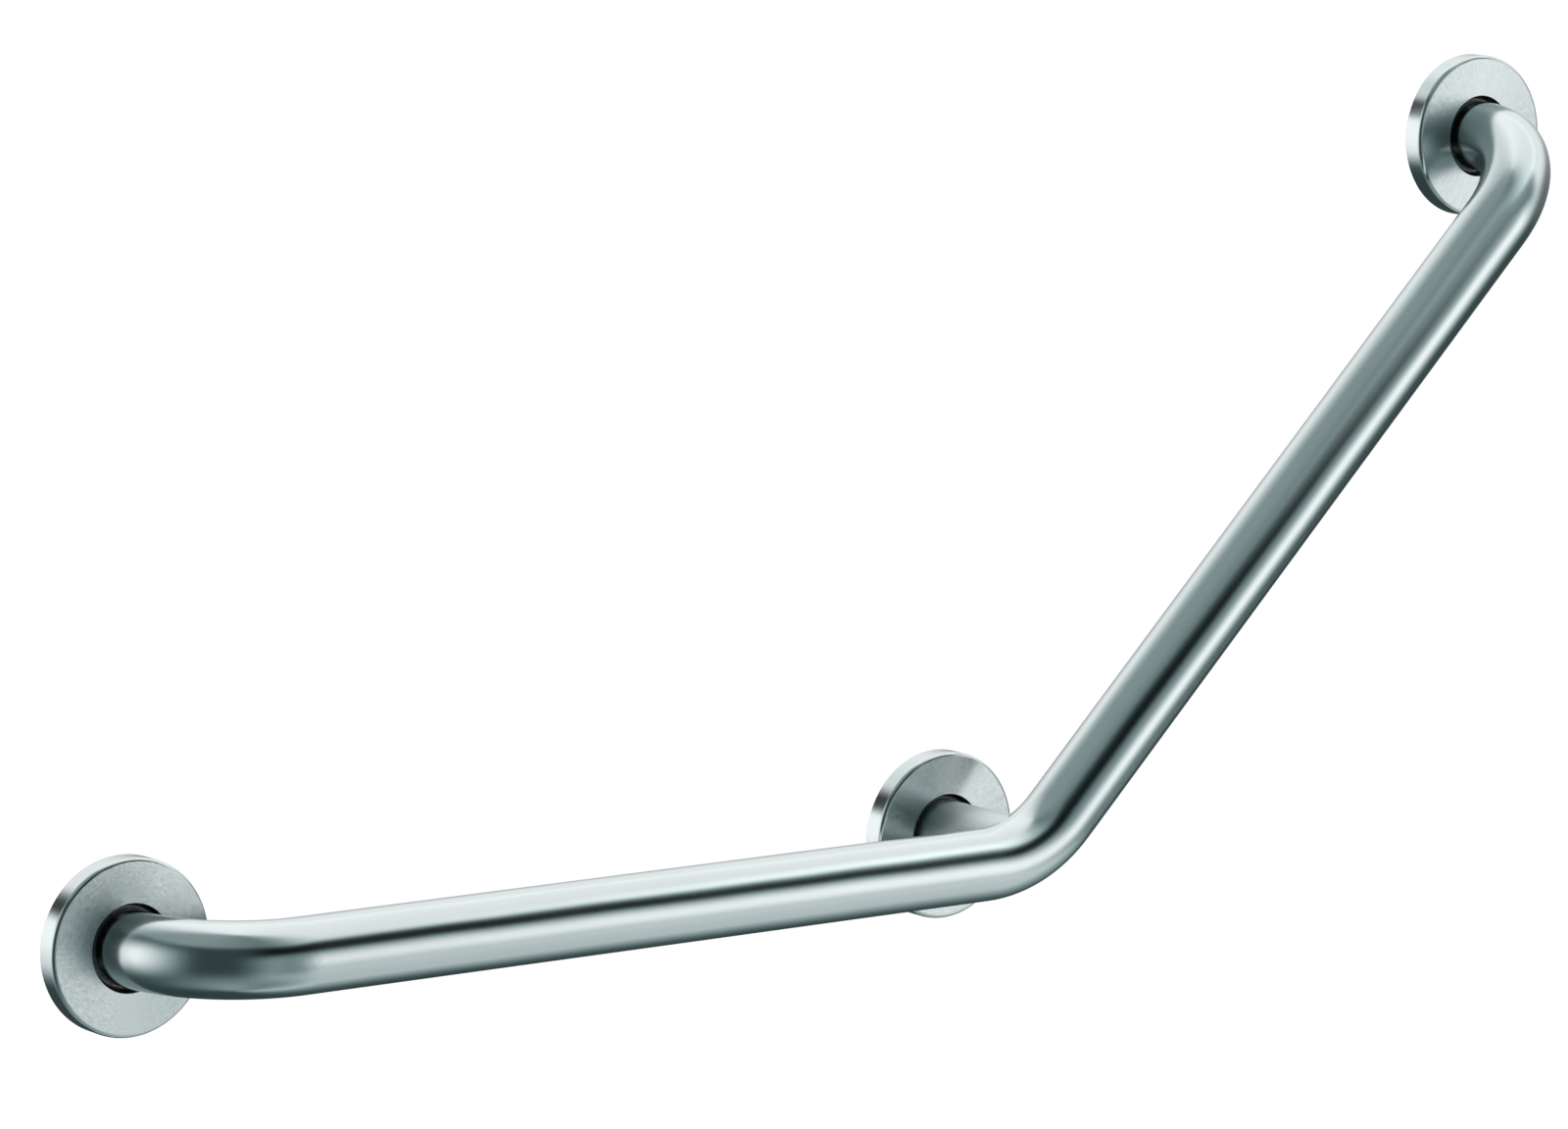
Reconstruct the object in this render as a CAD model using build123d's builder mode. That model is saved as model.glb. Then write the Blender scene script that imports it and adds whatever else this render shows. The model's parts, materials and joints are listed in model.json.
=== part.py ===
"""Angled grab bar: a bent tube with a level run and a rising run, held to the wall at three fixings.

The wall is the plane Y = 0 and the bar stands out from it towards -Y. X follows the level run, Z is up, and
the origin is the centre of the left fixing on the wall. Lengths are in millimetres, angles in degrees.
"""

from build123d import *
import os
from math import cos, radians, sin, tan

# Rail
tube_diameter = 30.0
tube_wall = 1.5
hand_gap = 41.0  # wall to the back of the rail
level_length = 400.0  # axis of the left leg to the corner of the elbow
rising_length = 400.0  # corner of the elbow to the axis of the top leg
rise_angle = 45.0  # rising run above the level run
elbow_radius = 56.0  # of the tube's axis

# Centre leg
leg_turn = 18.0  # where the leg meets the elbow, measured round the bend from the level run
cope_gap = 0.1  # root gap between the leg's cut end and the rail

# Covers
cover_diameter = 70.0
cover_depth = 9.5  # wall to the cover's face
cover_sheet = 1.0
cover_inside_radius = 0.8  # of the pressed edge
cover_wall_gap = 0.3  # the skirt stops short of the wall
tube_clearance = 2.5  # between the tube and the cover's hole
bend_clearance = 0.5  # the end bends start this far in front of the covers

# Fixing plates
plate_thickness = 3.0
plate_chamfer = 0.5
plate_clearance = 0.3  # between the plate's rim and the cover's skirt
socket_clearance = 0.1  # between the tube and the plate's socket
tube_setback = 0.5  # the tube ends stop short of the wall
weld_leg = 3.0
screw_circle = 52.0
screw_hole = 6.5
screw_count = 3
first_screw_angle = 90.0  # one hole stands straight above the tube

# Sizes that follow from these
tube_radius = tube_diameter / 2
stand_off = hand_gap + tube_radius
end_bend_radius = stand_off - cover_depth - bend_clearance
top_x = level_length + rising_length * cos(radians(rise_angle))
top_z = rising_length * sin(radians(rise_angle))
elbow_start = level_length - elbow_radius * tan(radians(rise_angle / 2))
leg_x = elbow_start + elbow_radius * sin(radians(leg_turn))
leg_z = elbow_radius * (1 - cos(radians(leg_turn)))
cover_radius = cover_diameter / 2
cover_hole_radius = tube_radius + tube_clearance
skirt_inside = cover_radius - cover_sheet
plate_radius = skirt_inside - plate_clearance
socket_radius = tube_radius + socket_clearance

fixings = {"left": (0.0, 0.0), "centre": (leg_x, leg_z), "top": (top_x, top_z)}
towards_room = (0, -1, 0)

os.makedirs("parts", exist_ok=True)

# Rail: one tube along the two runs, turned back to the wall at both ends
left_end = (0, -tube_setback, 0)
rail_corners = [
    left_end,
    (0, -stand_off, 0),
    (level_length, -stand_off, 0),
    (top_x, -stand_off, top_z),
    (top_x, -tube_setback, top_z),
]
with BuildPart() as rail:
    with BuildLine() as rail_axis:
        FilletPolyline(*rail_corners, radius=[end_bend_radius, elbow_radius, end_bend_radius])
    with BuildSketch(Plane(left_end, z_dir=towards_room)):
        Circle(tube_radius)
        Circle(tube_radius - tube_wall, mode=Mode.SUBTRACT)
    sweep()
rail.part.label = "rail"
export_step(rail.part, "parts/rail.step")

# Centre leg: a stub of the same tube, its front end cut to the rail's back
with BuildPart() as centre_leg:
    with BuildSketch(Plane((leg_x, -tube_setback, leg_z), z_dir=towards_room)):
        Circle(tube_radius)
        Circle(tube_radius - tube_wall, mode=Mode.SUBTRACT)
    extrude(amount=stand_off - tube_setback)
    with BuildSketch(Plane(left_end, z_dir=towards_room)):
        Circle(tube_radius + cope_gap)
    sweep(path=rail_axis.line, mode=Mode.SUBTRACT)
centre_leg.part.label = "centre_leg"
export_step(centre_leg.part, "parts/centre_leg.step")

for side, (x, z) in fixings.items():
    section_plane = Plane((x, 0, z))
    fixing_axis = Axis((x, 0, z), (0, 1, 0))

    # Fixing plate: a disc on the wall with a socket for the tube, a weld bead round it and screw holes
    with BuildPart() as plate:
        with BuildSketch(section_plane):
            with BuildLine():
                Polyline(
                    (socket_radius, 0),
                    (plate_radius, 0),
                    (plate_radius, plate_chamfer - plate_thickness),
                    (plate_radius - plate_chamfer, -plate_thickness),
                    (socket_radius + weld_leg, -plate_thickness),
                    (socket_radius, -plate_thickness - weld_leg),
                    close=True,
                )
            make_face()
        revolve(axis=fixing_axis)
        with Locations(Plane((x, 0, z), x_dir=(1, 0, 0), z_dir=towards_room)):
            with PolarLocations(screw_circle / 2, screw_count, start_angle=first_screw_angle):
                Hole(screw_hole / 2)
    plate.part.label = f"{side}_plate"
    export_step(plate.part, f"parts/{side}_plate.step")

    # Cover: a pressed rose over the plate, with a flat face, a rounded edge and a short skirt
    with BuildPart() as cover:
        with BuildSketch(section_plane) as cover_section:
            with BuildLine():
                Polyline(
                    (cover_hole_radius, -cover_depth),
                    (cover_radius, -cover_depth),
                    (cover_radius, -cover_wall_gap),
                    (skirt_inside, -cover_wall_gap),
                    (skirt_inside, cover_sheet - cover_depth),
                    (cover_hole_radius, cover_sheet - cover_depth),
                    close=True,
                )
            make_face()
            rounds = {
                (cover_radius, -cover_depth): cover_inside_radius + cover_sheet,
                (skirt_inside, cover_sheet - cover_depth): cover_inside_radius,
            }
            for corner, radius in rounds.items():
                fillet(cover_section.vertices().sort_by_distance(corner)[0], radius)
        revolve(axis=fixing_axis)
    cover.part.label = f"{side}_cover"
    export_step(cover.part, f"parts/{side}_cover.step")
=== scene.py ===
"""Dresses the angled grab bar: a satin steel tube, covers brushed in circles and plain welded plates.

The wall is the plane Y = 0, the room is towards -Y and Z is up. Lengths are in metres, angles in degrees.
"""

import json
import logging
from contextlib import contextmanager
from dataclasses import dataclass
from enum import Enum
from math import ceil, cos, hypot, pi, radians, sin, sqrt, tan
from typing import Any, Callable, Iterator

import bmesh
import bpy
from mathutils import Matrix, Quaternion, Vector


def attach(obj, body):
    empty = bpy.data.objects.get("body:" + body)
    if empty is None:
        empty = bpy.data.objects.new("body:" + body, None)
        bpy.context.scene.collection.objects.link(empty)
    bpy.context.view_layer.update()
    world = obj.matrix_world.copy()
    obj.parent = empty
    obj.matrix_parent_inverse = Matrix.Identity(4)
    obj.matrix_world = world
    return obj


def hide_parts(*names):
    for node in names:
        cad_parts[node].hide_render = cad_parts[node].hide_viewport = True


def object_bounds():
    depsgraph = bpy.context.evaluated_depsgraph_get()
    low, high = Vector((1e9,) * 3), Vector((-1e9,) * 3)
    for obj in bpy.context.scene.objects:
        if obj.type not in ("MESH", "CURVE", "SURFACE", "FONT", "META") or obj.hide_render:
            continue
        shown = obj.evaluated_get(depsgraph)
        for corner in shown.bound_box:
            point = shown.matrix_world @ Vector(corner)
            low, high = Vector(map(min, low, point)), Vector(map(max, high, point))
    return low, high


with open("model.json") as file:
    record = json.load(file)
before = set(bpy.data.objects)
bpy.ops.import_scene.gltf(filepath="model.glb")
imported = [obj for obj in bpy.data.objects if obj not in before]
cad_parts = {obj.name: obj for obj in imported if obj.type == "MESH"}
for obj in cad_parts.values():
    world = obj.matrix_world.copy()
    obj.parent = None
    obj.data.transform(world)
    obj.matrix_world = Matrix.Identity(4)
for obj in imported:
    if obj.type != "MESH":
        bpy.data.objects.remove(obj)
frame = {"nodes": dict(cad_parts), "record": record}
cad_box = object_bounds()

log = logging.getLogger("grab_bar")

MM = 0.001
TOWARDS_ROOM = Vector((0, -1, 0))
TOWARDS_WALL = Vector((0, 1, 0))
UP = Vector((0, 0, 1))
FACING_ROOM = (pi / 2, 0, 0)  # turns a primitive's own axis from Z to -Y

# Point attributes that the finishes read
STRAIGHT = "before_bending"  # a tube's own coordinates while it was straight: across, across, along
HEADING = "heading"  # the direction of a tube's axis
FROM_CENTRE = "from_centre"  # a round piece's coordinates from its fixing's centre

Colour = tuple[float, float, float, float]

WHITE: Colour = (1.0, 1.0, 1.0, 1.0)
BLACK: Colour = (0.0, 0.0, 0.0, 1.0)
NOISE_MIDDLE = 0.5  # a noise swings about this value
HALF_TURN = 180.0
OPEN = 200.0  # a height past straight up or down, for a patch with no edge on that side


class Fixing(Enum):
    """The three places where the bar meets the wall, by the first word of their nodes' names."""

    LEFT = "left"
    CENTRE = "centre"
    TOP = "top"

    def named(self, piece: str) -> str:
        """The name of this fixing's own piece, such as left_cover."""
        return f"{self.value}_{piece}"

    def centre(self) -> Vector:
        """The fixing's centre on the wall, from the record's mount."""
        mounts = {mount["name"]: mount for mount in frame["record"]["mounts"]}
        return Vector(mounts[self.named("fixing")]["pos_m"])


class Slot(Enum):
    """The record's material slots."""

    TUBE = "tube"
    COVER = "cover"
    PLATE = "plate"


class Element(Enum):
    """What a selection in edit mode picks."""

    FACE = "FACE"
    EDGE = "EDGE"


# Shader tools


class Wire:
    """A node's output socket, with arithmetic that adds Math or Vector Math nodes."""

    def __init__(self, shader: "Shader", socket: bpy.types.NodeSocket) -> None:
        """Wraps a socket.

        Args:
            shader: The shader that the socket's node belongs to.
            socket: The output that this wire comes from.
        """
        self.shader = shader
        self.socket = socket

    def _maths(self, operation: str, first: Any, second: Any) -> "Wire":
        """Adds the node for one operation.

        Args:
            operation: The node's operation, such as ADD.
            first: The left side, a wire or a value.
            second: The right side, a wire or a value.

        Returns:
            The result.
        """
        kind = "ShaderNodeVectorMath" if self.socket.type == "VECTOR" else "ShaderNodeMath"
        return self.shader.node(kind, {"operation": operation}, {0: first, 1: second})

    def __add__(self, other: Any) -> "Wire":
        """This wire plus a wire or a value."""
        return self._maths("ADD", self, other)

    def __radd__(self, other: Any) -> "Wire":
        """A value plus this wire."""
        return self._maths("ADD", other, self)

    def __sub__(self, other: Any) -> "Wire":
        """This wire less a wire or a value."""
        return self._maths("SUBTRACT", self, other)

    def __rsub__(self, other: Any) -> "Wire":
        """A value less this wire."""
        return self._maths("SUBTRACT", other, self)

    def __mul__(self, other: Any) -> "Wire":
        """This wire times a wire or a value."""
        return self._maths("MULTIPLY", self, other)


class Shader:
    """A node tree that is written as expressions."""

    def __init__(self, tree: bpy.types.NodeTree) -> None:
        """Takes a material's or a world's node tree and empties it.

        Args:
            tree: The tree to fill.
        """
        self.tree = tree
        tree.nodes.clear()

    def node(
        self,
        kind: str,
        settings: dict[str, Any] | None = None,
        inputs: dict[str | int, Any] | None = None,
        output: str | int = 0,
    ) -> Wire:
        """Adds a node.

        Args:
            kind: The node's type.
            settings: Its own settings, with "stops" for a ramp's places and colours.
            inputs: The values or wires of its sockets, by name or number.
            output: The output to return, by name or number.

        Returns:
            The wire from that output.
        """
        made = self.tree.nodes.new(kind)
        for name, value in (settings or {}).items():
            if name == "stops":
                self._set_stops(made.color_ramp, value)
            else:
                setattr(made, name, value)
        for name, value in (inputs or {}).items():
            if isinstance(value, Wire):
                self.tree.links.new(value.socket, made.inputs[name])
            else:
                made.inputs[name].default_value = value
        return Wire(self, made.outputs[output])

    @staticmethod
    def _set_stops(ramp: bpy.types.ColorRamp, stops: dict[float, Colour]) -> None:
        """Gives a ramp its stops.

        Args:
            ramp: The ramp to fill.
            stops: The colour at each place, in order.
        """
        while len(ramp.elements) < len(stops):
            ramp.elements.new(1.0)
        for element, (place, colour) in zip(ramp.elements, stops.items()):
            element.position = place
            element.color = colour

    def attribute(self, name: str) -> Wire:
        """The vector that a point attribute holds."""
        return self.node("ShaderNodeAttribute", {"attribute_name": name}, output="Vector")

    def normal(self) -> Wire:
        """The smooth surface's normal."""
        return self.node("ShaderNodeNewGeometry", output="Normal")

    def part(self, vector: Wire, axis: str) -> Wire:
        """One of a vector's parts, X, Y or Z."""
        return self.node("ShaderNodeSeparateXYZ", None, {0: vector}, axis)

    def vector(self, x: Any, y: Any, z: Any) -> Wire:
        """A vector of three parts."""
        return self.node("ShaderNodeCombineXYZ", None, {0: x, 1: y, 2: z})

    def length(self, vector: Wire) -> Wire:
        """A vector's length."""
        return self.node("ShaderNodeVectorMath", {"operation": "LENGTH"}, {0: vector}, "Value")

    def unit(self, vector: Wire) -> Wire:
        """A vector at a length of one."""
        return self.node("ShaderNodeVectorMath", {"operation": "NORMALIZE"}, {0: vector})

    def cross(self, first: Any, second: Any) -> Wire:
        """The vector square to two others."""
        return self.node("ShaderNodeVectorMath", {"operation": "CROSS_PRODUCT"}, {0: first, 1: second})

    def scaled(self, vector: Any, factor: Wire) -> Wire:
        """A vector times a number that changes over the surface."""
        return self.node("ShaderNodeVectorMath", {"operation": "SCALE"}, {0: vector, "Scale": factor})

    def noise(self, vector: Wire, grains: tuple[float, float, float], detail: float) -> Wire:
        """Soft noise from 0 to 1.

        Args:
            vector: The coordinates.
            grains: How many grains a unit holds along each axis.
            detail: The octaves of finer noise on top.

        Returns:
            The noise's value.
        """
        inputs = {"Vector": vector * grains, "Scale": 1.0, "Detail": detail}
        return self.node("ShaderNodeTexNoise", None, inputs)

    def ease(self, value: Wire, start: float, end: float) -> Wire:
        """A smooth step from 0 at start to 1 at end, in either direction."""
        settings = {"interpolation_type": "SMOOTHSTEP"}
        return self.node("ShaderNodeMapRange", settings, {"Value": value, "From Min": start, "From Max": end})

    def maths(self, operation: str, *values: Any) -> Wire:
        """A number worked out from wires or values by a Math node."""
        return self.node("ShaderNodeMath", {"operation": operation}, dict(enumerate(values)))

    def blend(self, factor: Wire, first: Any, second: Any) -> Wire:
        """A colour between two.

        Args:
            factor: 0 for the first colour, 1 for the second.
            first: A colour or a wire.
            second: A colour or a wire.

        Returns:
            The mixed colour.
        """
        first_colour, second_colour, result = 6, 7, 2
        inputs = {"Factor": factor, first_colour: first, second_colour: second}
        return self.node("ShaderNodeMix", {"data_type": "RGBA"}, inputs, result)

    def metal(self, colour: Any, roughness: Any, normal: Wire) -> Wire:
        """A bare metal surface.

        Args:
            colour: Its colour.
            roughness: Its roughness.
            normal: Its normal, with the finish's marks in it.

        Returns:
            The surface.
        """
        inputs = {"Base Color": colour, "Metallic": 1.0, "Roughness": roughness, "Normal": normal}
        return self.node("ShaderNodeBsdfPrincipled", None, inputs)

    def send(self, surface: Wire, kind: str = "ShaderNodeOutputMaterial") -> None:
        """Links a finished surface or background to the tree's output.

        Args:
            surface: The surface or background.
            kind: The output node's type.
        """
        self.tree.links.new(surface.socket, self.tree.nodes.new(kind).inputs["Surface"])


def new_material(name: str) -> tuple[bpy.types.Material, Shader]:
    """Makes an empty material.

    Args:
        name: The material's name.

    Returns:
        The material and its shader.
    """
    material = bpy.data.materials.new(name)
    material.use_nodes = True
    return material, Shader(material.node_tree)


# Finishes


@dataclass(frozen=True)
class SatinTube:
    """Stainless tube, ground finely round its axis before it was bent."""

    name: str = "satin_tube"
    colour: Colour = (0.74, 0.785, 0.785, 1.0)
    dull_colour: Colour = (0.69, 0.735, 0.738, 1.0)
    roughness: float = 0.15
    roughness_spread: float = 0.05
    groove_pitch: float = 0.06 * MM
    groove_length: float = 3 * MM
    groove_tilt: float = 0.12
    wave_pitch: float = 60 * MM
    wave_tilt: float = 0.06
    clouds_per_wave: float = 4.0  # across the tube
    cloud_share: float = 0.6  # of the roughness that varies
    groove_share: float = 0.4

    def material(self) -> bpy.types.Material:
        """Builds the finish, with fine grooves round the tube and the slow waves that grinding leaves.

        Returns:
            The tube's material.
        """
        material, shader = new_material(self.name)
        straight = shader.attribute(STRAIGHT)
        heading = shader.attribute(HEADING)
        normal = shader.normal()
        groove_rate, wave_rate = 1 / self.groove_length, 1 / self.wave_pitch
        cloud_rate = self.clouds_per_wave * wave_rate
        grooves = shader.noise(straight, (groove_rate, groove_rate, 1 / self.groove_pitch), detail=2.0)
        waves = shader.noise(straight, (wave_rate, wave_rate, wave_rate), detail=1.0)
        clouds = shader.noise(straight, (cloud_rate, cloud_rate, wave_rate), detail=3.0)
        across = shader.cross(heading, normal)
        along_tilt = shader.scaled(heading, (grooves - NOISE_MIDDLE) * self.groove_tilt)
        across_tilt = shader.scaled(across, (waves - NOISE_MIDDLE) * self.wave_tilt)
        dullness = clouds * self.cloud_share + grooves * self.groove_share
        shader.send(
            shader.metal(
                shader.blend(clouds, self.colour, self.dull_colour),
                self.roughness + dullness * self.roughness_spread,
                shader.unit(normal + along_tilt + across_tilt),
            )
        )
        return material


@dataclass(frozen=True)
class CircleBrushed:
    """Pressed stainless sheet, brushed in circles about the tube's hole."""

    colour: Colour = (0.74, 0.785, 0.785, 1.0)
    line_colour: Colour = (0.66, 0.70, 0.70, 1.0)
    face_roughness: float = 0.15
    skirt_roughness: float = 0.11
    roughness_spread: float = 0.08
    line_pitch: float = 0.03 * MM
    strokes_per_radian: float = 14.0
    face_tilt: float = 1.4
    skirt_tilt: float = 0.15
    face_starts: float = 0.85  # squared share of the normal along Y where the edge turns into the face
    face_full: float = 1.0

    def material(self) -> bpy.types.Material:
        """Builds the finish, whose fine lines tilt the surface square to their own direction.

        Returns:
            The covers' material.
        """
        material, shader = new_material("circle_brushed_cover")
        place = shader.attribute(FROM_CENTRE)
        flat = place * (1, 0, 1)
        outward = shader.unit(flat)
        normal = shader.normal()
        step = (shader.length(flat) - shader.part(place, "Y")) * (1 / self.line_pitch)
        round_x = shader.part(outward, "X") * self.strokes_per_radian
        round_z = shader.part(outward, "Z") * self.strokes_per_radian
        lines = shader.noise(shader.vector(step, round_x, round_z), (1, 1, 1), detail=2.0)
        line_direction = shader.cross(tuple(TOWARDS_WALL), outward)
        facing = shader.part(normal, "Y")
        on_face = shader.ease(facing * facing, self.face_starts, self.face_full)
        depth = self.skirt_tilt + on_face * (self.face_tilt - self.skirt_tilt)
        roughness = self.skirt_roughness + on_face * (self.face_roughness - self.skirt_roughness)
        tilt = shader.scaled(shader.cross(line_direction, normal), (lines - NOISE_MIDDLE) * depth)
        shader.send(
            shader.metal(
                shader.blend(lines, self.colour, self.line_colour),
                roughness + lines * self.roughness_spread,
                shader.unit(normal + tilt),
            )
        )
        return material


@dataclass(frozen=True)
class RolledSheet:
    """Plain stainless plate as it was rolled, with heat colours round the weld."""

    colour: Colour = (0.60, 0.61, 0.61, 1.0)
    streak_colour: Colour = (0.52, 0.53, 0.53, 1.0)
    blue_tint: Colour = (0.36, 0.39, 0.42, 1.0)
    purple_tint: Colour = (0.42, 0.42, 0.43, 1.0)
    straw_tint: Colour = (0.58, 0.56, 0.50, 1.0)
    roughness: float = 0.34
    roughness_spread: float = 0.14
    streak_length: float = 12 * MM
    streak_pitch: float = 0.7 * MM
    streak_tilt: float = 0.12
    heat_start: float = 16 * MM
    heat_reach: float = 10 * MM
    heat_spread: float = 0.2  # how far the streaks shift the heat colours
    purple_at: float = 0.25  # share of the reach, as are the next three
    straw_at: float = 0.5
    fading_from: float = 0.3
    faded_at: float = 0.95

    def material(self, name: str, centre: Vector) -> bpy.types.Material:
        """Builds the finish for one plate.

        Args:
            name: The material's name.
            centre: The plate's centre on the wall.

        Returns:
            The plate's material.
        """
        material, shader = new_material(name)
        place = shader.node("ShaderNodeTexCoord", output="Object")
        place = shader.node("ShaderNodeMapping", None, {"Vector": place, "Location": tuple(-centre)})
        normal = shader.normal()
        pitch_rate = 1 / self.streak_pitch
        streaks = shader.noise(place, (1 / self.streak_length, pitch_rate, pitch_rate), detail=3.0)
        heat = (shader.length(place * (1, 0, 1)) - self.heat_start) * (1 / self.heat_reach)
        heat = heat + (streaks - NOISE_MIDDLE) * self.heat_spread
        tint_stops = {0.0: self.blue_tint, self.purple_at: self.purple_tint, self.straw_at: self.straw_tint}
        fade_stops = {self.fading_from: BLACK, self.faded_at: WHITE}
        tint = shader.node("ShaderNodeValToRGB", {"stops": tint_stops}, {0: heat})
        faded = shader.node("ShaderNodeValToRGB", {"stops": fade_stops}, {0: heat})
        sheet = shader.blend(streaks, self.colour, self.streak_colour)
        tilt = shader.scaled(tuple(UP), (streaks - NOISE_MIDDLE) * self.streak_tilt)
        shader.send(
            shader.metal(
                shader.blend(faded, tint, sheet),
                self.roughness + streaks * self.roughness_spread,
                shader.unit(normal + tilt),
            )
        )
        return material


@dataclass(frozen=True)
class WeldMetal:
    """The bead that joins a tube to its plate, with heat colours along its ripples."""

    colour: Colour = (0.36, 0.34, 0.32, 1.0)
    heat_colour: Colour = (0.13, 0.13, 0.15, 1.0)
    roughness: float = 0.38
    roughness_spread: float = 0.24
    grain_pitch: float = 1.6 * MM

    def material(self) -> bpy.types.Material:
        """Builds the finish.

        Returns:
            The beads' material.
        """
        material, shader = new_material("weld_metal")
        rate = 1 / self.grain_pitch
        grain = shader.noise(shader.attribute(FROM_CENTRE), (rate, rate, rate), detail=3.0)
        colour = shader.blend(grain, self.colour, self.heat_colour)
        shader.send(shader.metal(colour, self.roughness + grain * self.roughness_spread, shader.normal()))
        return material


# Modelling tools


def only(piece: bpy.types.Object) -> None:
    """Makes a piece the one that is selected and active.

    Args:
        piece: The piece to work on.
    """
    bpy.ops.object.select_all(action="DESELECT")
    piece.select_set(True)
    bpy.context.view_layer.objects.active = piece


def new_piece(name: str) -> bpy.types.Object:
    """Names the primitive that was just added and puts its place in its mesh.

    Args:
        name: The piece's name.

    Returns:
        The piece, at the origin.
    """
    piece = bpy.context.object
    piece.name = piece.data.name = name
    only(piece)
    bpy.ops.object.transform_apply(location=True, rotation=True, scale=True)
    return piece


@contextmanager
def edit_mode(piece: bpy.types.Object) -> Iterator[None]:
    """Opens a piece in edit mode.

    Args:
        piece: The piece to shape.

    Yields:
        Nothing: operators then act on the piece's mesh.
    """
    only(piece)
    bpy.ops.object.mode_set(mode="EDIT")
    yield
    bpy.ops.object.mode_set(mode="OBJECT")


def select(piece: bpy.types.Object, element: Element, test: Callable[[Any], bool]) -> None:
    """Selects the faces or edges that pass a test, in edit mode.

    Args:
        piece: The piece that is open.
        element: Whether faces or edges are picked.
        test: Says of a face or an edge whether it is picked.
    """
    bpy.ops.mesh.select_mode(type=element.value)
    bpy.ops.mesh.select_all(action="DESELECT")
    shape = bmesh.from_edit_mesh(piece.data)
    for item in shape.faces if element is Element.FACE else shape.edges:
        item.select_set(test(item))
    bmesh.update_edit_mesh(piece.data)


def finish_with(piece: bpy.types.Object, kind: str, **settings: Any) -> None:
    """Adds a modifier and applies it.

    Args:
        piece: The piece to change.
        kind: The modifier's type.
        settings: The modifier's settings.
    """
    modifier = piece.modifiers.new(kind.lower(), kind)
    for name, value in settings.items():
        setattr(modifier, name, value)
    only(piece)
    bpy.ops.object.modifier_apply(modifier=modifier.name)


def smooth(piece: bpy.types.Object, angle: float) -> None:
    """Shades a piece smooth, with edges sharper than an angle left crisp."""
    only(piece)
    bpy.ops.object.shade_smooth_by_angle(angle=radians(angle))


def note_centre(piece: bpy.types.Object, centre: Vector) -> None:
    """Keeps each point's coordinates from a fixing's centre, for the finish to read.

    Args:
        piece: The piece whose points are noted.
        centre: The fixing's centre.
    """
    places = piece.data.attributes.new(FROM_CENTRE, "FLOAT_VECTOR", "POINT")
    for vertex, place in zip(piece.data.vertices, places.data):
        place.vector = vertex.co - centre


def copied(piece: bpy.types.Object, name: str, shift: Vector) -> bpy.types.Object:
    """Copies a piece with its own mesh.

    Args:
        piece: The piece to copy.
        name: The copy's name.
        shift: How far the copy lies from the piece.

    Returns:
        The copy, at the origin, with its place in its mesh.
    """
    copy = bpy.data.objects.new(name, piece.data.copy())
    copy.data.name = name
    copy.data.transform(Matrix.Translation(shift))
    bpy.context.scene.collection.objects.link(copy)
    return copy


def dress(
    piece: bpy.types.Object,
    material: bpy.types.Material,
    body: str,
    node: str = "",
) -> None:
    """Gives a new piece its finish and its body.

    Args:
        piece: The finished piece.
        material: Its material.
        body: The body that it moves with.
        node: The CAD node that it replaces, if it replaces one.
    """
    piece.data.materials.clear()
    piece.data.materials.append(material)
    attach(piece, body)
    if node:
        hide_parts(node)
    log.info("%s: %d faces, on %s", piece.name, len(piece.data.polygons), body)


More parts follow.
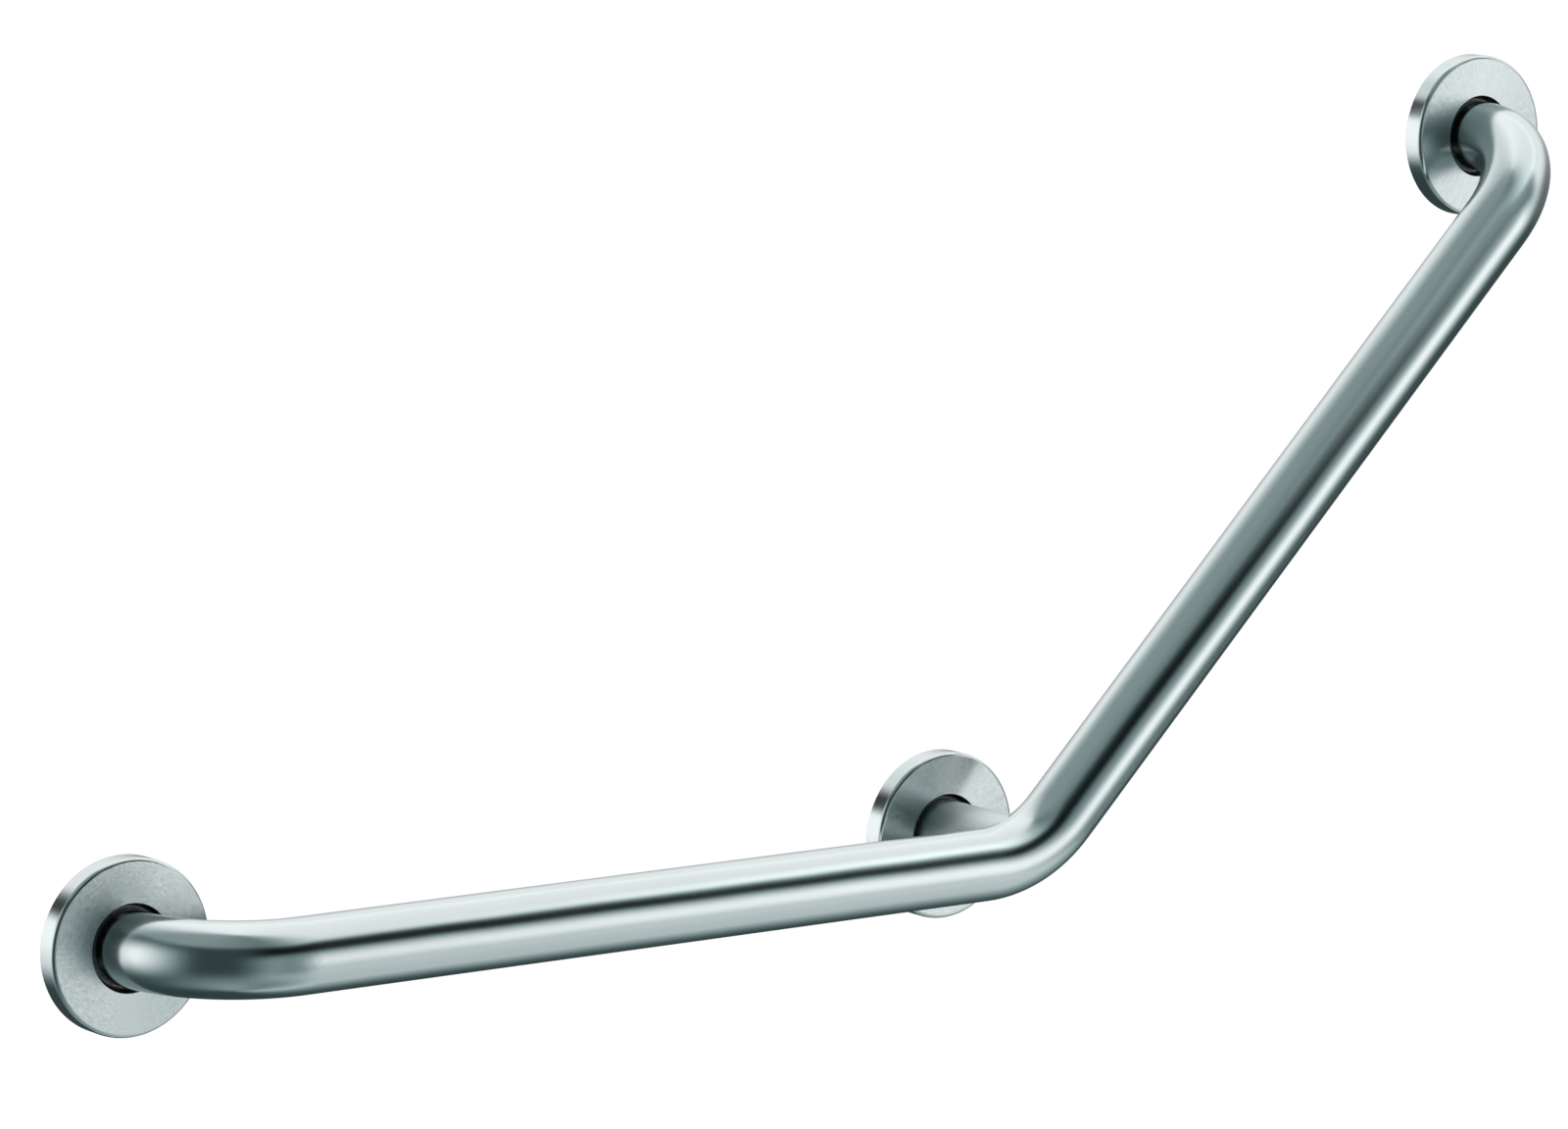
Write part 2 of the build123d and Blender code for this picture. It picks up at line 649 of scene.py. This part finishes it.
class TubeSweep:
    """Pulls a ring along runs and round bends, and notes where each ring lay on the straight tube."""

    sides: int = 96
    bend_step: float = 3.0
    end_ring: float = 2 * MM  # a ring this far from each end of a run keeps the bend's shading off it
    merge_distance: float = 0.001 * MM
    crisp_angle: float = 40.0

    def __init__(self, name: str, start: Vector, radius: float) -> None:
        """Opens the first ring in edit mode, facing the room.

        Args:
            name: The piece's name.
            start: The ring's centre.
            radius: The ring's radius.
        """
        bpy.ops.object.select_all(action="DESELECT")
        bpy.ops.mesh.primitive_circle_add(
            vertices=self.sides, radius=radius, fill_type="NOTHING", location=start, rotation=FACING_ROOM
        )
        self.piece = new_piece(name)
        self.place = start.copy()
        self.heading = TOWARDS_ROOM.copy()
        self.along = 0.0
        bpy.ops.object.mode_set(mode="EDIT")
        bpy.ops.mesh.select_all(action="SELECT")
        shape = bmesh.from_edit_mesh(self.piece.data)
        shape.verts.layers.float_vector.new(STRAIGHT)
        shape.verts.layers.float_vector.new(HEADING)
        straight = shape.verts.layers.float_vector[STRAIGHT]
        for vertex in shape.verts:
            offset = vertex.co - start
            vertex[straight] = (offset.x, offset.z, 0.0)
        bmesh.update_edit_mesh(self.piece.data)
        self._note(0.0)

    def _note(self, advance: float) -> None:
        """Writes the newest ring's place on the straight tube and its heading into its points.

        Args:
            advance: How far along the tube this ring lies from the last.
        """
        self.along += advance
        shape = bmesh.from_edit_mesh(self.piece.data)
        straight = shape.verts.layers.float_vector[STRAIGHT]
        heading = shape.verts.layers.float_vector[HEADING]
        for vertex in shape.verts:
            if vertex.select:
                vertex[straight] = (*vertex[straight][:2], self.along)
                vertex[heading] = self.heading
        bmesh.update_edit_mesh(self.piece.data)

    def run(self, length: float) -> None:
        """Pulls the tube straight ahead.

        Args:
            length: The run's length.
        """
        for step in (self.end_ring, length - 2 * self.end_ring, self.end_ring):
            bpy.ops.mesh.extrude_region_move(TRANSFORM_OT_translate={"value": self.heading * step})
            self.place += self.heading * step
            self._note(step)

    def bend(self, turn: float, axis: Vector, radius: float) -> None:
        """Turns the tube round an axis.

        Args:
            turn: The bend's angle, by the right-hand rule.
            axis: The direction of the bend's axis.
            radius: The radius of the tube's own axis.
        """
        centre = self.place + axis.cross(self.heading) * radius
        count = ceil(turn / self.bend_step)
        step = radians(turn) / count
        rotation = Quaternion(axis, step)
        for _ in range(count):
            bpy.ops.mesh.spin(steps=1, angle=-step, center=centre, axis=axis)
            self.place = centre + rotation @ (self.place - centre)
            self.heading = rotation @ self.heading
            self._note(radius * step)

    def close(self, wall: float) -> bpy.types.Object:
        """Leaves edit mode and gives the tube its wall.

        Args:
            wall: The wall's thickness, inwards.

        Returns:
            The finished tube.
        """
        bpy.ops.mesh.select_all(action="SELECT")
        bpy.ops.mesh.remove_doubles(threshold=self.merge_distance)
        bpy.ops.mesh.normals_make_consistent(inside=False)
        bpy.ops.object.mode_set(mode="OBJECT")
        finish_with(self.piece, "SOLIDIFY", thickness=wall, offset=-1.0, use_even_offset=True)
        smooth(self.piece, self.crisp_angle)
        return self.piece


# Sub-assemblies


@dataclass
class Bar:
    """The bent rail and the leg behind its elbow, of the same tube but left duller."""

    tube_radius: float = 15 * MM
    tube_wall: float = 1.5 * MM
    stand_off: float = 56 * MM  # wall to the tube's axis
    setback: float = 0.5 * MM  # the tube's ends stop short of the wall
    end_bend_radius: float = 46 * MM
    end_turn: float = 90.0  # from the runs to the wall
    elbow_radius: float = 56 * MM
    rise: float = 45.0
    rail_finish: SatinTube = SatinTube()
    leg_finish: SatinTube = SatinTube("dull_tube", roughness=0.38)

    def __post_init__(self) -> None:
        """Works out the runs from the fixings' places."""
        top = Fixing.TOP.centre()
        self.level_length = top.x - top.z / tan(radians(self.rise))
        self.rising_length = top.z / sin(radians(self.rise))
        self.elbow_cut = self.elbow_radius * tan(radians(self.rise / 2))

    def build(self) -> None:
        """Models the rail and the leg and dresses them."""
        dress(self._rail(), self.rail_finish.material(), "bar", "rail")
        dress(self._leg(), self.leg_finish.material(), "bar", "centre_leg")

    def _rail(self) -> bpy.types.Object:
        """Sweeps the rail from the left fixing round the elbow to the top fixing.

        Returns:
            The rail.
        """
        end_run = self.stand_off - self.end_bend_radius - self.setback
        end_cut = self.end_bend_radius + self.elbow_cut
        start = Fixing.LEFT.centre() + TOWARDS_ROOM * self.setback
        across_rise = Vector((-sin(radians(self.rise)), 0, cos(radians(self.rise))))
        sweep = TubeSweep("bent_rail", start, self.tube_radius)
        sweep.run(end_run)
        sweep.bend(self.end_turn, UP, self.end_bend_radius)
        sweep.run(self.level_length - end_cut)
        sweep.bend(self.rise, TOWARDS_ROOM, self.elbow_radius)
        sweep.run(self.rising_length - end_cut)
        sweep.bend(self.end_turn, across_rise, self.end_bend_radius)
        sweep.run(end_run)
        return sweep.close(self.tube_wall)

    def _leg(self) -> bpy.types.Object:
        """Makes the leg as a straight tube, then fits its front end to the rail's back.

        Returns:
            The leg.
        """
        start = Fixing.CENTRE.centre() + TOWARDS_ROOM * self.setback
        length = self.stand_off - self.setback
        sweep = TubeSweep("coped_leg", start, self.tube_radius)
        sweep.run(length)
        leg = sweep.close(self.tube_wall)
        for vertex in leg.data.vertices:
            if vertex.co.y < -self.stand_off / 2:
                reach = min(self._off_rail(vertex.co.x, vertex.co.z), self.tube_radius)
                vertex.co.y += sqrt(self.tube_radius**2 - reach**2)
        leg.data.update()
        return leg

    def _off_rail(self, x: float, z: float) -> float:
        """How far a point of the wall lies from the line of the rail near the elbow.

        Args:
            x: The point's place along the level run.
            z: The point's height.

        Returns:
            The distance to the rail's axis, seen from the room.
        """
        elbow_start = self.level_length - self.elbow_cut
        if x < elbow_start:
            return abs(z)
        return abs(hypot(x - elbow_start, z - self.elbow_radius) - self.elbow_radius)


@dataclass
class Covers:
    """The three pressed covers, which slide out along the tube."""

    radius: float = 35 * MM
    hole_radius: float = 17.5 * MM
    depth: float = 9.5 * MM
    wall_gap: float = 0.3 * MM
    sheet: float = 1.0 * MM
    edge_radius: float = 1.8 * MM
    edge_segments: int = 8
    rim_round: float = 0.25 * MM
    rim_segments: int = 3
    rim_angle: float = 60.0  # edges sharper than this are rims
    crisp_angle: float = 40.0
    sides: int = 160
    facing: float = 0.5  # share of a face's normal along Y that tells front and back from skirt
    finish: CircleBrushed = CircleBrushed()

    def build(self) -> None:
        """Models one cover, copies it to the other fixings and dresses all three."""
        material = self.finish.material()
        first = self._cover()
        for fixing in Fixing:
            name = fixing.named("cover_shell")
            cover = first if fixing is Fixing.LEFT else copied(first, name, fixing.centre())
            dress(cover, material, fixing.named("cover"), fixing.named("cover"))

    def _cover(self) -> bpy.types.Object:
        """Presses the left cover out of a drum: open back, holed face, rounded edge and sheet walls.

        Returns:
            The left cover.
        """
        height = self.depth - self.wall_gap
        middle = Fixing.LEFT.centre() + TOWARDS_ROOM * (self.wall_gap + height / 2)
        bpy.ops.object.select_all(action="DESELECT")
        bpy.ops.mesh.primitive_cylinder_add(
            vertices=self.sides, radius=self.radius, depth=height, location=middle, rotation=FACING_ROOM
        )
        cover = new_piece(Fixing.LEFT.named("cover_shell"))
        with edit_mode(cover):
            select(cover, Element.FACE, lambda face: face.normal.y > self.facing)
            bpy.ops.mesh.delete(type="FACE")
            select(cover, Element.FACE, lambda face: face.normal.y < -self.facing)
            bpy.ops.mesh.inset(thickness=(self.radius - self.hole_radius) * cos(pi / self.sides))
            bpy.ops.mesh.delete(type="FACE")
            select(cover, Element.EDGE, self._is_face_edge)
            bpy.ops.mesh.bevel(offset=self.edge_radius, segments=self.edge_segments, affect="EDGES")
        finish_with(cover, "SOLIDIFY", thickness=self.sheet, offset=-1.0, use_even_offset=True)
        finish_with(
            cover,
            "BEVEL",
            width=self.rim_round,
            segments=self.rim_segments,
            limit_method="ANGLE",
            angle_limit=radians(self.rim_angle),
        )
        smooth(cover, self.crisp_angle)
        finish_with(cover, "WEIGHTED_NORMAL", keep_sharp=True)
        note_centre(cover, Fixing.LEFT.centre())
        return cover

    def _is_face_edge(self, edge: bmesh.types.BMEdge) -> bool:
        """Tells the edges between the cover's face and its skirt.

        Args:
            edge: An edge of the drum.

        Returns:
            Whether it lies on that rim.
        """
        hair = 0.1 * MM
        return all(
            abs(vertex.co.y + self.depth) < hair and hypot(vertex.co.x, vertex.co.z) > self.radius - hair
            for vertex in edge.verts
        )


@dataclass
class Plates:
    """The three fixing plates, and the weld bead that joins each to its tube."""

    thickness: float = 3 * MM
    bead_centre: float = 16.6 * MM  # from the tube's axis
    bead_height: float = 1.5 * MM  # of the bead's centre above the plate
    bead_half_width: float = 2.5 * MM  # from the tube down to the plate
    bead_bulge: float = 1.1 * MM
    ripple: float = 0.14  # share of the bead's size
    ripples: int = 54
    points_per_ripple: int = 4
    points_round_bead: int = 16
    crisp_angle: float = 50.0
    sheet: RolledSheet = RolledSheet()
    weld: WeldMetal = WeldMetal()

    def build(self) -> None:
        """Dresses the plates and lays their weld beads."""
        weld = self.weld.material()
        first = self._bead()
        for fixing in Fixing:
            plate = frame["nodes"][fixing.named("plate")]
            plate.material_slots[0].material = self.sheet.material(fixing.named("plate"), fixing.centre())
            name = fixing.named("weld_bead")
            bead = first if fixing is Fixing.LEFT else copied(first, name, fixing.centre())
            dress(bead, weld, "bar")

    def _bead(self) -> bpy.types.Object:
        """Lays the left bead as a flattened ring of overlapping ripples, from the tube down to the plate.

        Returns:
            The left bead.
        """
        centre = Fixing.LEFT.centre() + TOWARDS_ROOM * (self.thickness + self.bead_height)
        bpy.ops.object.select_all(action="DESELECT")
        bpy.ops.mesh.primitive_torus_add(
            major_segments=self.ripples * self.points_per_ripple,
            minor_segments=self.points_round_bead,
            major_radius=self.bead_centre,
            minor_radius=self.bead_half_width,
            location=centre,
            rotation=FACING_ROOM,
        )
        bead = new_piece(Fixing.LEFT.named("weld_bead"))
        for vertex in bead.data.vertices:
            outward = Vector((vertex.co.x, 0, vertex.co.z)).normalized()
            spine = centre + outward * self.bead_centre
            proud = (outward + TOWARDS_ROOM).normalized()
            turn = UP.angle(outward) if outward.x > 0 else -UP.angle(outward)
            swell = (turn * self.ripples / (2 * pi)) % 1
            offset = vertex.co - spine
            offset -= proud * offset.dot(proud) * (1 - self.bead_bulge / self.bead_half_width)
            vertex.co = spine + offset * (1 - self.ripple * swell)
        bead.data.update()
        smooth(bead, self.crisp_angle)
        note_centre(bead, Fixing.LEFT.centre())
        return bead


# Studio and camera


@dataclass(frozen=True)
class SoftWindow:
    """A soft-edged patch of light or shade round the object, by its direction from there.

    Azimuth is measured from the front, towards +X. Heights are above the horizon.
    """

    azimuth: float
    half_width: float
    side_blur: float
    bottom: float
    bottom_blur: float
    top: float
    top_blur: float
    strength: float

    def mask(self, shader: Shader, azimuth: Wire, height: Wire) -> Wire:
        """The patch as a number for each direction.

        Args:
            shader: The world's shader.
            azimuth: The direction's azimuth.
            height: The direction's height.

        Returns:
            The patch's strength inside it, easing to 0 outside.
        """
        wrapped = shader.maths("WRAP", azimuth - self.azimuth, HALF_TURN, -HALF_TURN)
        aside = shader.maths("ABSOLUTE", wrapped)
        across = shader.ease(aside, self.half_width + self.side_blur, self.half_width - self.side_blur)
        above = shader.ease(height, self.bottom - self.bottom_blur, self.bottom + self.bottom_blur)
        below = shader.ease(height, self.top + self.top_blur, self.top - self.top_blur)
        return across * above * below * self.strength


@dataclass(frozen=True)
class SoftLamp:
    """A softbox whose light fades towards its edges."""

    name: str
    place: tuple[float, float, float]
    target: tuple[float, float, float]
    width: float
    height: float
    power: float
    tint: Colour
    mirrored: bool  # whether the metal shows it

    def hang(self) -> None:
        """Hangs the lamp, out of the camera's sight."""
        light = bpy.data.lights.new(self.name, "AREA")
        light.shape = "RECTANGLE"
        light.size, light.size_y = self.width, self.height
        light.energy = self.power
        light.use_nodes = True
        shader = Shader(light.node_tree)
        middle = 0.5  # of the lamp's own coordinates, and their way from there to an edge
        across = shader.node("ShaderNodeNewGeometry", output="Parametric") - (middle, middle, 0.0)
        strength = shader.ease(shader.length(across * (1, 1, 0)), middle, 0.0)
        glow = shader.node("ShaderNodeEmission", None, {"Color": self.tint, "Strength": strength})
        shader.send(glow, "ShaderNodeOutputLight")
        lamp = bpy.data.objects.new(self.name, light)
        lamp.location = self.place
        ahead = Vector(self.target) - Vector(self.place)
        lamp.rotation_euler = ahead.to_track_quat("-Z", "Y").to_euler()
        lamp.visible_camera = False
        lamp.visible_glossy = self.mirrored
        bpy.context.scene.collection.objects.link(lamp)


@dataclass(frozen=True)
class Studio:
    """A white backdrop, soft lights and a pale floor, in a dim cool room."""

    room_level: float = 0.06
    brightest: float = 1.25
    shade_tint: Colour = (0.55, 1.0, 1.03, 1.0)
    light_tint: Colour = (0.98, 1.0, 1.0, 1.0)
    backdrop_colour: Colour = WHITE
    # Each patch: azimuth, half width and blur, bottom and blur, top and blur, strength
    ceiling: SoftWindow = SoftWindow(-108, 103, 78, 46, 6, OPEN, 1, 0.29)
    overhead: SoftWindow = SoftWindow(112, 81, 41, 40, 6, OPEN, 1, 0.93)
    backdrop: SoftWindow = SoftWindow(140, 81, 12, 6, 28, 41, 10, 1.0)
    front_strip: SoftWindow = SoftWindow(41.7, 8, 28, -18, 20.6, 7.3, 18, 1.72)
    front_low: SoftWindow = SoftWindow(24, 37, 22, -52, 18, 15, 12, 0.35)
    floor_right: SoftWindow = SoftWindow(70, 9, 62, -OPEN, 1, -27, 5, 0.94)
    floor_left: SoftWindow = SoftWindow(-38, 52, 80, -OPEN, 1, -48, 30, 0.34)
    left_panel: SoftWindow = SoftWindow(-109, 19, 32, -25, 26, 29, 19, 1.30)
    front_flag: SoftWindow = SoftWindow(18, 34, 16, 21.5, 6, 42, 6, 0.97)
    side_panel: SoftWindow = SoftWindow(-144, 16, 10, -24, 8, 13, 5, 0.78)
    back_flag: SoftWindow = SoftWindow(-152, 13, 7, 16, 4, 32, 5, 0.97)
    right_flag: SoftWindow = SoftWindow(95, 22, 20, -8, 8, 13, 7, 0.55)
    left_flag: SoftWindow = SoftWindow(14, 13, 9, -35, 10, 12, 8, 0.35)
    floor_colour: Colour = (0.86, 0.87, 0.87, 1.0)
    floor_height: float = -0.45
    floor_radius: float = 1.1
    floor_fade: float = 0.45  # share of the radius where the floor starts to melt into the background
    floor_sides: int = 96
    overhead_lamp: SoftLamp = SoftLamp(
        "overhead_lamp",
        place=(1.3, -0.9, 2.0),
        target=(0.34, -0.035, 0.14),
        width=2.0,
        height=2.0,
        power=85.0,
        tint=WHITE,
        mirrored=False,
    )
    top_softbox: SoftLamp = SoftLamp(
        "top_softbox",
        place=(0.712, -0.278, 0.44),
        target=(0.66, -0.056, 0.25),
        width=0.84,
        height=0.45,
        power=0.41,
        tint=(0.82, 1, 1, 1),
        mirrored=True,
    )

    def build(self) -> None:
        """Sets up the world, the floor and the lamps."""
        self._world()
        self._floor()
        self.overhead_lamp.hang()
        self.top_softbox.hang()

    def _world(self) -> None:
        """Lights the object from all sides, before a white backdrop that the metal shows behind it."""
        world = bpy.data.worlds.new("studio")
        bpy.context.scene.world = world
        world.use_nodes = True
        shader = Shader(world.node_tree)
        direction = shader.node("ShaderNodeTexCoord", output="Generated")
        east, north, height = (shader.part(direction, axis) for axis in "XYZ")
        to_degrees = HALF_TURN / pi
        azimuth = shader.maths("ARCTAN2", east, 0 - north) * to_degrees
        height = shader.maths("ARCSINE", height) * to_degrees
        lights = (
            self.ceiling,
            self.overhead,
            self.front_strip,
            self.front_low,
            self.floor_right,
            self.floor_left,
            self.left_panel,
            self.side_panel,
        )
        level = sum((light.mask(shader, azimuth, height) for light in lights), self.room_level)
        level = shader.maths("MINIMUM", level, self.brightest)
        backdrop = self.backdrop.mask(shader, azimuth, height)
        behind = shader.maths("MINIMUM", backdrop, self.brightest - level)
        for flag in (self.front_flag, self.back_flag, self.right_flag, self.left_flag):
            open_share = 1 - flag.mask(shader, azimuth, height)
            level, behind = level * open_share, behind * open_share
        seen = shader.node("ShaderNodeLightPath", output="Is Camera Ray")
        mirrored = shader.node("ShaderNodeLightPath", output="Is Glossy Ray")
        colour = shader.blend(shader.maths("SQRT", level), self.shade_tint, self.light_tint)
        studio = {"Color": colour, "Strength": level * (1 - seen)}
        white = {"Color": self.backdrop_colour, "Strength": seen + mirrored * behind}
        layers = [shader.node("ShaderNodeBackground", None, inputs) for inputs in (studio, white)]
        both = shader.node("ShaderNodeAddShader", None, dict(enumerate(layers)))
        shader.send(both, "ShaderNodeOutputWorld")

    def _floor(self) -> None:
        """Lays the pale floor, which keeps the object's shadow and melts into the white background."""
        low, high = cad_box
        middle = (low + high) / 2
        middle.z = self.floor_height
        bpy.ops.object.select_all(action="DESELECT")
        bpy.ops.mesh.primitive_circle_add(
            vertices=self.floor_sides, radius=self.floor_radius, fill_type="NGON", location=middle
        )
        floor = new_piece("floor")
        floor.visible_glossy = False
        material, shader = new_material("pale_floor")
        place = shader.node("ShaderNodeTexCoord", output="Object")
        place = shader.node("ShaderNodeMapping", None, {"Vector": place, "Location": tuple(-middle)})
        melt = shader.ease(shader.length(place), self.floor_fade * self.floor_radius, self.floor_radius)
        seen = shader.node("ShaderNodeLightPath", output="Is Camera Ray")
        pale = shader.node("ShaderNodeBsdfDiffuse", None, {"Color": self.floor_colour})
        white = shader.node("ShaderNodeEmission", None, {"Color": WHITE, "Strength": 1.0})
        shader.send(shader.node("ShaderNodeMixShader", None, {0: seen * melt, 1: pale, 2: white}))
        floor.data.materials.append(material)


@dataclass(frozen=True)
class Viewpoint:
    """The camera at the photograph's place, worked out for its frame."""

    place: tuple[float, float, float] = (-1.29298, -2.15331, 0.52846)
    yaw: float = 36.748  # from +Y towards +X
    pitch: float = -8.602
    roll: float = 0.796
    lens: float = 153.05  # millimetres, as is the sensor's width
    sensor_width: float = 36.0

    def build(self) -> None:
        """Makes the camera and gives it to the scene."""
        yaw, pitch, roll = radians(self.yaw), radians(self.pitch), radians(self.roll)
        ahead = Vector((sin(yaw) * cos(pitch), cos(yaw) * cos(pitch), sin(pitch)))
        level_right = Vector((cos(yaw), -sin(yaw), 0))
        level_up = level_right.cross(ahead)
        right = level_right * cos(roll) + level_up * sin(roll)
        up = level_up * cos(roll) - level_right * sin(roll)
        data = bpy.data.cameras.new("camera")
        data.lens = self.lens
        data.sensor_width = self.sensor_width
        camera = bpy.data.objects.new("camera", data)
        turn = Matrix((right, up, -ahead)).transposed().to_4x4()
        camera.matrix_world = Matrix.Translation(self.place) @ turn
        bpy.context.scene.collection.objects.link(camera)
        bpy.context.scene.camera = camera


def main() -> None:
    """Builds the bar, its covers and plates, the studio and the camera."""
    logging.basicConfig(level=logging.INFO, format="%(name)s: %(message)s")
    bpy.context.scene.view_settings.view_transform = "Standard"
    for assembly in (Bar(), Covers(), Plates(), Studio(), Viewpoint()):
        assembly.build()


if __name__ == "__main__":
    main()
